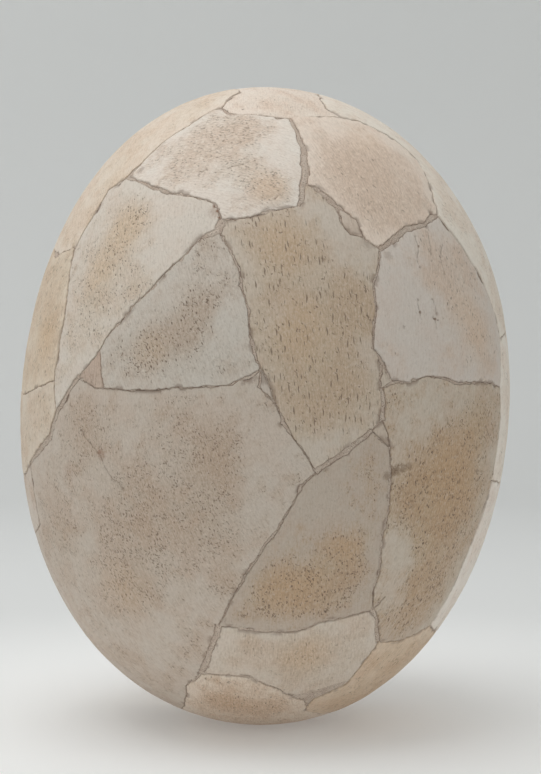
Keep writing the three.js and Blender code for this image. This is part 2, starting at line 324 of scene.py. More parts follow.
def nearest(places, loop):
    """How far each place is from the nearest point of a loop."""
    distances = np.zeros(len(places))
    for first in range(0, len(places), PLACES_AT_ONCE):
        part = slice(first, first + PLACES_AT_ONCE)
        squares = ((places[part, None] - loop[None]) ** 2).sum(-1)
        distances[part] = np.sqrt(squares.min(1))
    return distances


def inside(places, loop):
    """Whether each place is inside a closed loop."""
    x0, y0 = loop.T
    x1, y1 = np.roll(loop, -1, axis=0).T
    x, y = places[:, :1], places[:, 1:]
    spans = (y0 > y) != (y1 > y)
    rise = np.where(y1 == y0, 1e-12, y1 - y0)
    crossed = spans & (x < x0 + (y - y0) * (x1 - x0) / rise)
    return crossed.sum(1) % 2 == 1


def net_over(loop, step, chance):
    """A loose net of places over a loop's box."""
    low, high = loop.min(0), loop.max(0)
    rows = np.arange(low[1], high[1], step * NET_ROWS)
    places = [
        (x + step / 2 * (i % 2), y)
        for i, y in enumerate(rows) for x in np.arange(low[0], high[0], step)
    ]
    places = np.array(places).reshape(-1, 2)
    return places + chance.uniform(-NET_SCATTER, NET_SCATTER, places.shape) * step


def triangulated(places, loop_length):
    """The places, triangles inside the loop of the first ones, and which places each one stands for."""
    loop = list(range(loop_length))
    done = delaunay_2d_cdt([Vector(p) for p in places], [], [loop], INSIDE_ONLY, 1e-7)
    return np.array([tuple(p) for p in done[0]]), np.array(done[2]), done[3]


def edges_once(faces):
    """The directed edges that only one triangle has."""
    pairs = np.concatenate([faces[:, [0, 1]], faces[:, [1, 2]], faces[:, [2, 0]]])
    used = {tuple(p) for p in pairs}
    return np.array([p for p in used if (p[1], p[0]) not in used])


def largest_part(faces, places):
    """The largest group of triangles that hang together by their edges."""
    owners = {}
    for number, face in enumerate(faces):
        for a, b in zip(face, np.roll(face, -1)):
            owners.setdefault((min(a, b), max(a, b)), []).append(number)
    beside = [[] for _ in faces]
    for pair in owners.values():
        if len(pair) == 2:
            beside[pair[0]].append(pair[1])
            beside[pair[1]].append(pair[0])
    corners = places[faces]
    sides = corners[:, 1:] - corners[:, :1]
    areas = np.abs(sides[:, 0, 0] * sides[:, 1, 1] - sides[:, 0, 1] * sides[:, 1, 0])
    group = np.full(len(faces), -1)
    for start in range(len(faces)):
        waiting = [start] if group[start] < 0 else []
        while waiting:
            here = waiting.pop()
            if group[here] < 0:
                group[here] = start
                waiting += beside[here]
    totals = np.bincount(group, weights=areas)
    return faces[group == totals.argmax()]


def without_crossings(loop):
    """What is left of a loop once the small loops are cut off where it crosses itself."""
    places, faces, _ = triangulated(loop, len(loop))
    faces = largest_part(faces, places)
    kept = places[max(loops_from(edges_once(faces)), key=len)]
    gaps = np.linalg.norm(kept - np.roll(kept, 1, axis=0), axis=1)
    return kept[gaps > SHORTEST_EDGE]


def mesh_object(name, points, faces, attributes, material):
    """A smooth mesh object from points in mm, with its point attributes and material."""
    mesh = bpy.data.meshes.new(name)
    mesh.from_pydata((points * MM).tolist(), [], faces.tolist())
    for title, values in attributes.items():
        kind = "FLOAT_VECTOR" if values.ndim == 2 else "FLOAT"
        field = "vector" if values.ndim == 2 else "value"
        attribute = mesh.attributes.new(title, kind, "POINT")
        attribute.data.foreach_set(field, values.astype(np.float32).ravel())
    mesh.polygons.foreach_set("use_smooth", np.ones(len(faces), dtype=bool))
    mesh.materials.append(material)
    mesh.update()
    piece = bpy.data.objects.new(name, mesh)
    bpy.context.scene.collection.objects.link(piece)
    return piece


def surface_depth(points, from_rim, from_crack, seed, level):
    """How deep a sherd's face lies below the smooth egg, and how much of it is flakes and cracks."""
    # The edge is worn round
    radius = 0.32 + 0.4 * noises(points, 0.5, seed)
    short = np.clip(radius - from_rim, 0, None)
    wear = radius - np.sqrt(np.clip(radius**2 - short**2, 0, None))

    # Flakes beside the edge, and the cracks, which close here and there
    beside_edge = 1 - smooth(from_rim, 0.3, 2.4)
    flakes = smooth(noises(points, 0.16, seed + 9), 0.15, 0.42) * FLAKE_DEPTH * beside_edge
    open_crack = 0.5 + 0.5 * smooth(noises(points, 0.55, 21.0), -0.25, 0.0)
    dips = flakes + CRACK_DEPTH * open_crack * (1 - smooth(from_crack, 0.0, CRACK_HALF_WIDTH))

    # Broad, middling and fine unevenness, which the flat foot doesn't have
    uneven = 0.22 * noises(points, 0.04, seed) + 0.14 * noises(points, 0.13, seed)
    uneven += 0.03 * noises(points, 0.9)
    off_foot = smooth(points[:, 2], FLAT_BELOW, UNEVEN_FROM)
    return (wear + dips + uneven - level) * off_foot, dips


def crack_line(spots, chart):
    """A hairline crack's places on the chart, close together and a little ragged."""
    corners = chart.flat(np.array([seen(*spot) for spot in spots]))
    lengths = np.concatenate([[0], np.cumsum(np.linalg.norm(np.diff(corners, axis=0), axis=1))])
    along = np.arange(0, lengths[-1], CRACK_STEP)
    line = np.stack([np.interp(along, lengths, corners[:, i]) for i in (0, 1)], axis=-1)
    wobble = np.array([noise.noise_vector(Vector((a * 0.6, 5.0, 0.0))) for a in along])[:, :2]
    return line + CRACK_WOBBLE * wobble


def face_places(rim, cracks, chance):
    """The places of a sherd's face: its edge, rows beside that, a net between, and the cracks."""
    places = []
    for inset, step in RIM_ROWS:
        row = (rim + normals_of(rim) * inset)[:: max(1, round(step / RIM_STEP))]
        places.append(row[(nearest(row, rim) > 0.85 * inset) & inside(row, rim)])
    net = net_over(rim, SURFACE_STEP, chance)
    net = net[inside(net, rim)]
    places.append(net[nearest(net, rim) > SURFACE_FROM_RIM])
    if cracks:
        crack = np.concatenate(cracks)
        places = [p[nearest(p, crack) > CRACK_FREE] for p in places] + [crack]
        for line in cracks:
            across = normals_of(line) * CRACK_HALF_WIDTH
            places += [(line + across)[2:-2], (line - across)[2:-2]]
    return np.concatenate([rim] + places)


def inner_face(outline, chart, chance):
    """A sherd's inner face: its places, points and triangles, and its point for each of the outline's."""
    net = net_over(outline, INSIDE_STEP, chance)
    net = net[inside(net, outline)]
    net = net[nearest(net, outline) > INSIDE_FROM_RIM]
    places, faces, origins = triangulated(np.concatenate([outline, net]), len(outline))
    point_of = {}
    for new, olds in enumerate(origins):
        for old in olds:
            point_of[old] = new
    directions = chart.back(places)
    points = on_egg(directions) - directions * SHELL
    points[:, 2] = np.maximum(points[:, 2], SHELL)
    return places, points, faces[:, ::-1], point_of


def sherd(node, number, look):
    """One sherd as a closed mesh, and its edge for the filler to meet."""
    chance = np.random.default_rng(FIRST_SEED + number)
    seed = NOISE_SHIFT * number
    rough_rim = jagged(resampled(rim_of(node), RIM_STEP))
    chart = Chart(rough_rim.mean(0))
    rim = chart.flat(rough_rim)
    rim = without_crossings(rim + normals_of(rim) * inset_of(on_egg(rough_rim), seed)[:, None])

    # The outer face
    cracks = [crack_line(line, chart) for line in look.get("cracks", ())]
    places, faces, _ = triangulated(face_places(rim, cracks, chance), len(rim))
    edge = max(loops_from(edges_once(faces)), key=len)
    outline = places[edge]
    from_rim = nearest(places, outline)
    from_rim[edge] = 0
    from_crack = nearest(places, np.concatenate(cracks)) if cracks else np.full(len(places), NO_CRACK)
    directions = chart.back(places)
    level = chance.uniform(*LEVELS) + places @ chance.uniform(-TIPPING, TIPPING, 2)
    smooth_points = on_egg(directions)
    depth, dips = surface_depth(smooth_points, from_rim, from_crack, seed, level)
    points = smooth_points - directions * depth[:, None]
    points[:, 2] = np.maximum(points[:, 2], 0)

    # The inner face, and the walls between the two
    inner_places, inner_points, inner_faces, point_of = inner_face(outline, chart, chance)
    first = len(points)
    walls = []
    for i, here in enumerate(edge):
        after = (i + 1) % len(edge)
        there = edge[after]
        deep_here = first + point_of[i]
        deep_there = first + point_of[after]
        walls += [(here, deep_here, deep_there), (here, deep_there, there)]

    all_points = np.concatenate([points, inner_points])
    all_faces = np.concatenate([faces, inner_faces + first, np.array(walls)])
    all_places = np.concatenate([places, inner_places])
    attributes = {
        "chart": np.column_stack([all_places, np.full(len(all_places), LAYER * number)]),
        "edge": np.concatenate([from_rim, np.zeros(len(inner_points))]),
        "dip": np.concatenate([dips, np.zeros(len(inner_points))]),
    }
    material = shell_material(node, look, chart)
    piece = mesh_object(f"{node}_sherd", all_points, all_faces, attributes, material)
    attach(piece, "root")
    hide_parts(node)
    return directions[edge]


def spread(directions):
    """A flat map of all directions, in which the lowest one is endlessly far out."""
    return directions[:, :2] / (1.0 + directions[:, 2:])


def gathered(places):
    """The directions of places on that flat map."""
    squares = (places**2).sum(1, keepdims=True)
    return np.concatenate([2 * places, 1 - squares], axis=1) / (1 + squares)


def joint_rows(rims, rim_points, tree):
    """Directions in the joints, in rows beside the sherds' edges."""
    inwards = []
    for rim in rims:
        points = on_egg(rim)
        along = np.roll(points, -1, axis=0) - np.roll(points, 1, axis=0)
        inwards.append(unit(np.cross(rim, along) + 1e-9))
    inwards = np.concatenate(inwards)
    taken = set()
    kept = []
    for offset in FILLER_ROWS:
        for point in rim_points - inwards * offset:
            _, i, distance = tree.find(point)
            cell = tuple(np.round(point / FILLER_CELL).astype(int))
            outside = (point - rim_points[i]) @ inwards[i] < 0
            if outside and distance > FILLER_CLEAR and cell not in taken:
                taken.add(cell)
                kept.append(point)
    return unit(np.array(kept) - HEART)


def joint_net(rims, extra):
    """The directions and triangles of the net between the sherds' edges."""
    outlines = []
    first = 0
    for rim in rims:
        outline = list(range(first, first + len(rim)))
        x, y = spread(rim).T
        if (x * np.roll(y, -1) - y * np.roll(x, -1)).sum() < 0:
            outline.reverse()
        outlines.append(outline)
        first += len(rim)
    places = spread(np.concatenate(rims + [extra]))
    done = delaunay_2d_cdt([Vector(p) for p in places], [], outlines, ALL_TRIANGLES, 1e-10)
    between = [face for face, owners in zip(done[2], done[5]) if list(owners) == [OUTERMOST]]
    used, faces = np.unique(np.array(between), return_inverse=True)
    flat = np.array([tuple(p) for p in done[0]])[used]
    return gathered(flat), faces.reshape(-1, 3)


def filler(rims):
    """The filler in all the joints, as one closed net between the edges of the sherds."""
    rim_points = on_egg(np.concatenate(rims))
    tree = kdtree.KDTree(len(rim_points))
    for i, point in enumerate(rim_points):
        tree.insert(point, i)
    tree.balance()
    directions, faces = joint_net(rims, joint_rows(rims, rim_points, tree))
    smooth_points = on_egg(directions)
    from_rim = np.array([tree.find(p)[2] for p in smooth_points])

    grit = 0.16 * noises(smooth_points, 0.8) + 0.22 * noises(smooth_points, 0.35)
    depth = FILLER_DEPTH - FILLER_RISE * smooth(from_rim, 0.25, 1.0) + grit * smooth(from_rim, 0.0, 0.4)
    top = smooth_points - directions * depth[:, None]
    bottom = smooth_points - directions * FILLER_BOTTOM
    walls = []
    for a, b in edges_once(faces):
        walls += [(a, a + len(top), b), (b, a + len(top), b + len(top))]
    points = np.concatenate([top, bottom])
    all_faces = np.concatenate([faces, faces[:, ::-1] + len(top), np.array(walls)])
    attributes = {"edge": np.concatenate([from_rim, np.zeros(len(bottom))])}
    piece = mesh_object("joint_filler", points, all_faces, attributes, filler_material())
    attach(piece, "root")
    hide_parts(*FILLER_NODES)


def linear(colour):
    """A colour of the picture, 0 to 255, as the linear colour of a shader."""
    return tuple(((c / 255 + 0.055) / 1.055) ** 2.4 if c > 10 else c / 3294.6 for c in colour) + (1.0,)


def tinted(colour, tint):
    """A colour of the picture times a tint, as the linear colour of a shader."""
    return linear([c * t for c, t in zip(colour, tint)])


class Shader:
    """A short way to write a material's nodes. A socket is named, or given as at_ and its number."""

    def __init__(self, name):
        self.material = bpy.data.materials.new(name)
        self.material.use_nodes = True
        self.nodes = self.material.node_tree.nodes
        self.links = self.material.node_tree.links
        self.surface = self.nodes["Principled BSDF"]

    def put(self, made, name, value):
        """Links another node's output to a socket, or gives it a value."""
        socket = made.inputs[int(name[3:])] if name.startswith("at ") else made.inputs[name]
        if isinstance(value, bpy.types.NodeSocket):
            self.links.new(value, socket)
        else:
            socket.default_value = value

    def add(self, kind, output=0, settings=(), **sockets):
        """One of the outputs of a new node."""
        made = self.nodes.new(f"ShaderNode{kind}")
        for name, value in dict(settings).items():
            setattr(made, name, value)
        for name, value in sockets.items():
            self.put(made, name.replace("_", " "), value)
        return made.outputs[output]

    def attribute(self, name, output):
        return self.add("Attribute", output, {"attribute_name": name})

    def math(self, operation, a, b=0.0):
        return self.add("Math", 0, {"operation": operation}, at_0=a, at_1=b)

    def product(self, a, b):
        return self.math("MULTIPLY", a, b)

    def centred(self, value):
        """A value of 0 to 1 as one of -0.5 to 0.5."""
        return self.math("SUBTRACT", value, 0.5)

    def sum(self, value, factor, more):
        """A value times a factor, and something more."""
        return self.add("Math", 0, {"operation": "MULTIPLY_ADD"}, at_0=value, at_1=factor, at_2=more)

    def vector(self, operation, *values):
        sockets = {f"at_{i}": value for i, value in enumerate(values)}
        return self.add("VectorMath", 0, {"operation": operation}, **sockets)

    def length(self, vector):
        return self.add("VectorMath", 1, {"operation": "LENGTH"}, at_0=vector)

    def between(self, value, low, high, start=0.0, end=1.0):
        """A smooth step from start, where the value is low, to end, where it is high."""
        settings = {"interpolation_type": "SMOOTHSTEP"}
        return self.add(
            "MapRange", 0, settings, Value=value, From_Min=low, From_Max=high, To_Min=start, To_Max=end,
        )

    def mix(self, part, a, b):
        """Colour a with a part of colour b in it."""
        return self.add("Mix", 2, {"data_type": "RGBA"}, Factor=part, at_6=a, at_7=b)

    def noise(self, vector, scale, detail=3.0, roughness=0.5):
        return self.add("TexNoise", Vector=vector, Scale=scale, Detail=detail, Roughness=roughness)

    def stretched(self, vector, angle, width, length):
        """Places that make a pattern's features this wide and long, along an angle."""
        settings = {"vector_type": "TEXTURE"}
        turn = (0.0, 0.0, angle)
        return self.add("Mapping", 0, settings, Vector=vector, Rotation=turn, Scale=(width, length, 1.0))

    def grained(self, vector, angle, width, length, detail, roughness):
        """Noise that is drawn out along an angle."""
        return self.noise(self.stretched(vector, angle, width, length), 1.0, detail, roughness)

    def cells(self, vector, density, size):
        """Spots in a share of the cells of a flat net, each of its own size."""
        cell = self.add("TexVoronoi", 0, {"voronoi_dimensions": "2D"}, Vector=vector, Scale=1.0)
        red = self.add("SeparateColor", Color=cell.node.outputs["Color"])
        reach = self.product(self.between(red, 1 - density, 1.0, 0.4, 1.0), size)
        there = self.math("GREATER_THAN", red, 1 - density)
        near = self.math("DIVIDE", cell, reach)
        return self.product(self.between(near, 0.45, 1.0, 1.0, 0.0), there)


# Noises of the shell: fineness per mm, detail and roughness
STAINS = (0.03, 4.0, 0.55)
PATCHES = (0.13, 6.0, 0.65)
HUES = (0.06, 5.0, 0.6)
CLOUDS = (0.35, 4.0, 0.7)
CLUSTERS = (0.14, 4.0, 0.65)
MARK_EDGES = (0.9, 4.0, 0.7)
LUMPS = (0.7, 3.0)
SHEEN = (0.5, 3.0)

# Noises of the shell that are drawn out: width and length in mm, detail and roughness
RAGS = (8.0, 15.0, 8.0, 0.8)
STREAKS = (0.7, 5.0, 4.0, 0.6)
GRAIN = (0.75, 1.6, 3.0, 0.75)

# The pores: slits run along a sherd's grain and specks across it, each with a width in mm and a spot's size
SLIT_WIDTH = 1.4
SLIT_SIZE = 0.25
SPECK_TURN = 0.5
SPECK_WIDTH = 0.85
SPECK_LENGTH = 2.3
SPECK_SIZE = 0.36
BEND_FINENESS = 0.35
SLIGHT_BEND = (1.4, 1.4, 0.0)
STRONG_BEND = (3.2, 3.2, 0.0)

# How much of its tan tone the most stained shell shows, and how much paler than its pale tone it gets
MOST_STAINED = 0.9
BRIGHTER = 1.05

# Tints of the stains and of the clean shell
OCHRE = (1.01, 0.973, 0.93)
RUDDY = (0.985, 0.962, 0.945)
ROSY = (1.0, 0.988, 0.982)

# Colours of small marks. The dirt colour also darkens the sherds' edges and dips, as dirt and painted shade
PORE = (108, 88, 70)
DIRT_AND_SHADE = (140, 118, 103)
RUST = (146, 104, 78)
UMBER = (118, 92, 68)
BROWN = (92, 70, 52)

# Colours of the filler and its grit, and of the painted shade where it meets a sherd
FILLER = (197, 177, 161)
PALE_FILLER = (211, 195, 180)
LIGHT_GRIT = (220, 209, 195)
DARK_GRIT = (116, 98, 82)
FILLER_EDGE_SHADE = (130, 108, 93)


def shell_material(node, look, chart):
    """Eggshell: pale where clean, tan where stained, with streaks, pores, marks, dirt and painted shade."""
    s = Shader(f"{node}_shell")
    place = s.attribute("chart", 1)
    edge = s.attribute("edge", 2)
    dip = s.attribute("dip", 2)
    angle = math.radians(look["angle"])
    ragged = s.centred(s.grained(place, angle, *RAGS))
    patches = s.centred(s.noise(place, *PATCHES))

    def away_from(x, y):
        """How far a place is from what the photograph shows at x, y."""
        centre = chart.flat(seen(x, y)[None])[0]
        off = s.vector("SUBTRACT", place, (centre[0], centre[1], 0.0))
        return s.length(s.vector("MULTIPLY", off, (1.0, 1.0, 0.0)))

    def loosely_away_from(x, y, radius):
        """The same distance, made ragged, so that a blot around it has no clear outline."""
        return s.sum(patches, radius * 1.6, s.sum(ragged, radius * 1.3, away_from(x, y)))

    # How stained each place is
    uneven = look["uneven"]
    stained = s.sum(s.noise(place, *STAINS), uneven, look["stained"] - 0.5 * uneven)
    for x, y, radius, amount in look.get("areas", ()):
        blot = s.between(loosely_away_from(x, y, radius), 0.0, radius * 1.6, amount, 0.0)
        stained = s.sum(blot, 1.0, stained)
    stained = s.sum(patches, 1.5, s.sum(ragged, 1.6, stained))
    loose_edge = s.sum(patches, 12.0, s.sum(ragged, 9.0, edge))
    margin = s.between(loose_edge, 0.0, 8.0, -look["margin"], 0.0)
    stained = s.between(s.sum(margin, 1.0, stained), -0.1, 1.2, 0.0, MOST_STAINED)

    # The pale and the tan tone, each with a change of hue
    hue = s.noise(place, *HUES)
    pale = s.mix(s.between(hue, 0.4, 0.6), linear(look["pale"]), tinted(look["pale"], ROSY))
    tan = s.mix(s.between(hue, 0.42, 0.58), linear(look["tan"]), tinted(look["tan"], RUDDY))
    for x, y, radius, tint in look.get("washes", ()):
        away = loosely_away_from(x, y, radius)
        wash = s.between(away, radius * 0.3, radius * 1.4, 1.0, 0.0)
        tan = s.mix(wash, tan, tinted(look["tan"], tint))
    tone = s.mix(stained, pale, tan)

    # Brown streaks and grain, mostly where it is stained, and bright clouds and grain
    streak = s.grained(place, angle, *STREAKS)
    grain = s.grained(place, angle, *GRAIN)
    clouds = s.noise(place, *CLOUDS)
    deep = s.mix(0.3, tan, linear(BROWN))
    bright = linear([min(250, c * BRIGHTER) for c in look["pale"]])
    more_if_stained = s.sum(stained, 0.7, 0.3)
    tone = s.mix(s.product(s.between(streak, 0.42, 0.68, 0.0, 0.75), more_if_stained), tone, deep)
    tone = s.mix(s.between(clouds, 0.52, 0.75, 0.0, 0.45), tone, bright)
    tone = s.mix(s.product(s.between(grain, 0.5, 0.68, 0.0, 0.75), more_if_stained), tone, deep)
    tone = s.mix(s.between(grain, 0.32, 0.48, 0.45, 0.0), tone, bright)

    # Pores, thickest in clusters and where it is stained
    wander = s.add("TexNoise", 1, Vector=place, Scale=BEND_FINENESS, Detail=2.0)
    wander = s.vector("SUBTRACT", wander, (0.5, 0.5, 0.5))
    slightly = s.vector("MULTIPLY_ADD", wander, SLIGHT_BEND, place)
    strongly = s.vector("MULTIPLY_ADD", wander, STRONG_BEND, place)
    slits = s.cells(s.stretched(slightly, angle, SLIT_WIDTH, look["length"]), look["slits"], SLIT_SIZE)
    across = s.stretched(strongly, angle + SPECK_TURN, SPECK_WIDTH, SPECK_LENGTH)
    clusters = s.between(s.noise(place, *CLUSTERS), 0.42, 0.58, 0.15, 1.0)
    specks = s.product(s.cells(across, look["specks"], SPECK_SIZE), clusters)
    pores = s.product(s.math("MAXIMUM", slits, specks), s.between(stained, 0.1, 0.55, 0.2, 1.0))
    tone = s.mix(s.product(pores, look["darkness"]), tone, linear(PORE))

    # Single marks, and dirt with painted shade at the edges and in the dips
    for x, y, radius, strength, colour in look.get("spots", ()):
        away = s.sum(s.centred(s.noise(place, *MARK_EDGES)), radius * 2.4, away_from(x, y))
        tone = s.mix(s.between(away, radius * 0.3, radius * 1.2, strength, 0.0), tone, linear(colour))
    # Painted shade, with some dirt, along the joints' grooves and in the flakes and cracks
    edge_dirt_and_shade = s.product(s.between(edge, 0.0, 0.5, 0.28, 0.0), s.between(patches, -0.1, 0.1, 0.2, 1.0))
    dirt_and_shade = s.math("MAXIMUM", edge_dirt_and_shade, s.between(dip, 0.05, 0.35, 0.0, 0.52))
    tone = s.mix(dirt_and_shade, tone, linear(DIRT_AND_SHADE))

    # Relief and sheen
    height = s.sum(grain, 0.09, s.sum(streak, 0.08, s.product(s.noise(place, *LUMPS), 0.12)))
    height = s.sum(pores, -0.2, height)
    s.put(s.surface, "Base Color", tone)
    s.put(s.surface, "Normal", s.add("Bump", Height=height, Strength=0.8, Distance=MM))
    s.put(s.surface, "Roughness", s.between(s.noise(place, *SHEEN), 0.3, 0.7, 0.5, 0.68))
    s.put(s.surface, "Specular IOR Level", 0.35)
    return s.material


def filler_material():
    """Filler: grey-brown with light and dark grit, and painted shade where it meets a sherd."""
    s = Shader("joint_filler")
    place = s.add("VectorMath", 0, {"operation": "SCALE"}, at_0=s.add("NewGeometry"), Scale=1 / MM)
    edge = s.attribute("edge", 2)
    tone = s.mix(s.between(s.noise(place, 0.25, 4.0), 0.35, 0.65), linear(FILLER), linear(PALE_FILLER))
    grit = s.noise(place, 2.2, 3.0, 0.7)
    tone = s.mix(s.between(grit, 0.52, 0.64, 0.0, 0.6), tone, linear(LIGHT_GRIT))
    tone = s.mix(s.between(grit, 0.34, 0.46, 0.9, 0.0), tone, linear(DARK_GRIT))
    here_and_there = s.between(s.noise(place, 0.3), 0.4, 0.6, 0.3, 1.0)
    # Painted shade in the groove's corner, where the filler meets a sherd
    shaded_rim = s.product(s.between(edge, 0.0, 0.4, 0.7, 0.0), here_and_there)
    s.put(s.surface, "Base Color", s.mix(shaded_rim, tone, linear(FILLER_EDGE_SHADE)))
    s.put(s.surface, "Normal", s.add("Bump", Height=grit, Strength=0.8, Distance=0.4 * MM))
    s.put(s.surface, "Roughness", 0.85)
    return s.material


# Families of shell: a pale and a tan tone, how stained a sherd is and how unevenly, how pale its margin is,
# the angle of its grain in degrees, and its pores: how many slits, how long in mm, how many specks and how
# dark
PLAIN = {
    "stained": 0.45, "uneven": 1.0, "margin": 0.3, "angle": 4,
    "slits": 0.16, "length": 4.5, "specks": 0.3, "darkness": 0.7,
}
FAMILY = {
    "cream_shell": {
        **PLAIN, "pale": (234, 220, 204), "tan": (224, 204, 183), "slits": 0.08, "darkness": 0.4,
    },
    "pale_shell": {**PLAIN, "pale": (227, 217, 205), "tan": (215, 199, 182)},
    "grey_shell": {**PLAIN, "pale": (213, 205, 194), "tan": (199, 185, 168)},
    "pink_shell": {**PLAIN, "pale": (213, 200, 187), "tan": (201, 180, 160)},
    "tan_shell": {
        **PLAIN, "pale": (216, 202, 185), "tan": (200, 176, 150), "stained": 0.55, "slits": 0.2,
    },
}

# What sets a sherd of the back apart, where the photograph shows nothing
BACK_LOOK = {"uneven": 3.5, "slits": 0.25, "specks": 0.6}

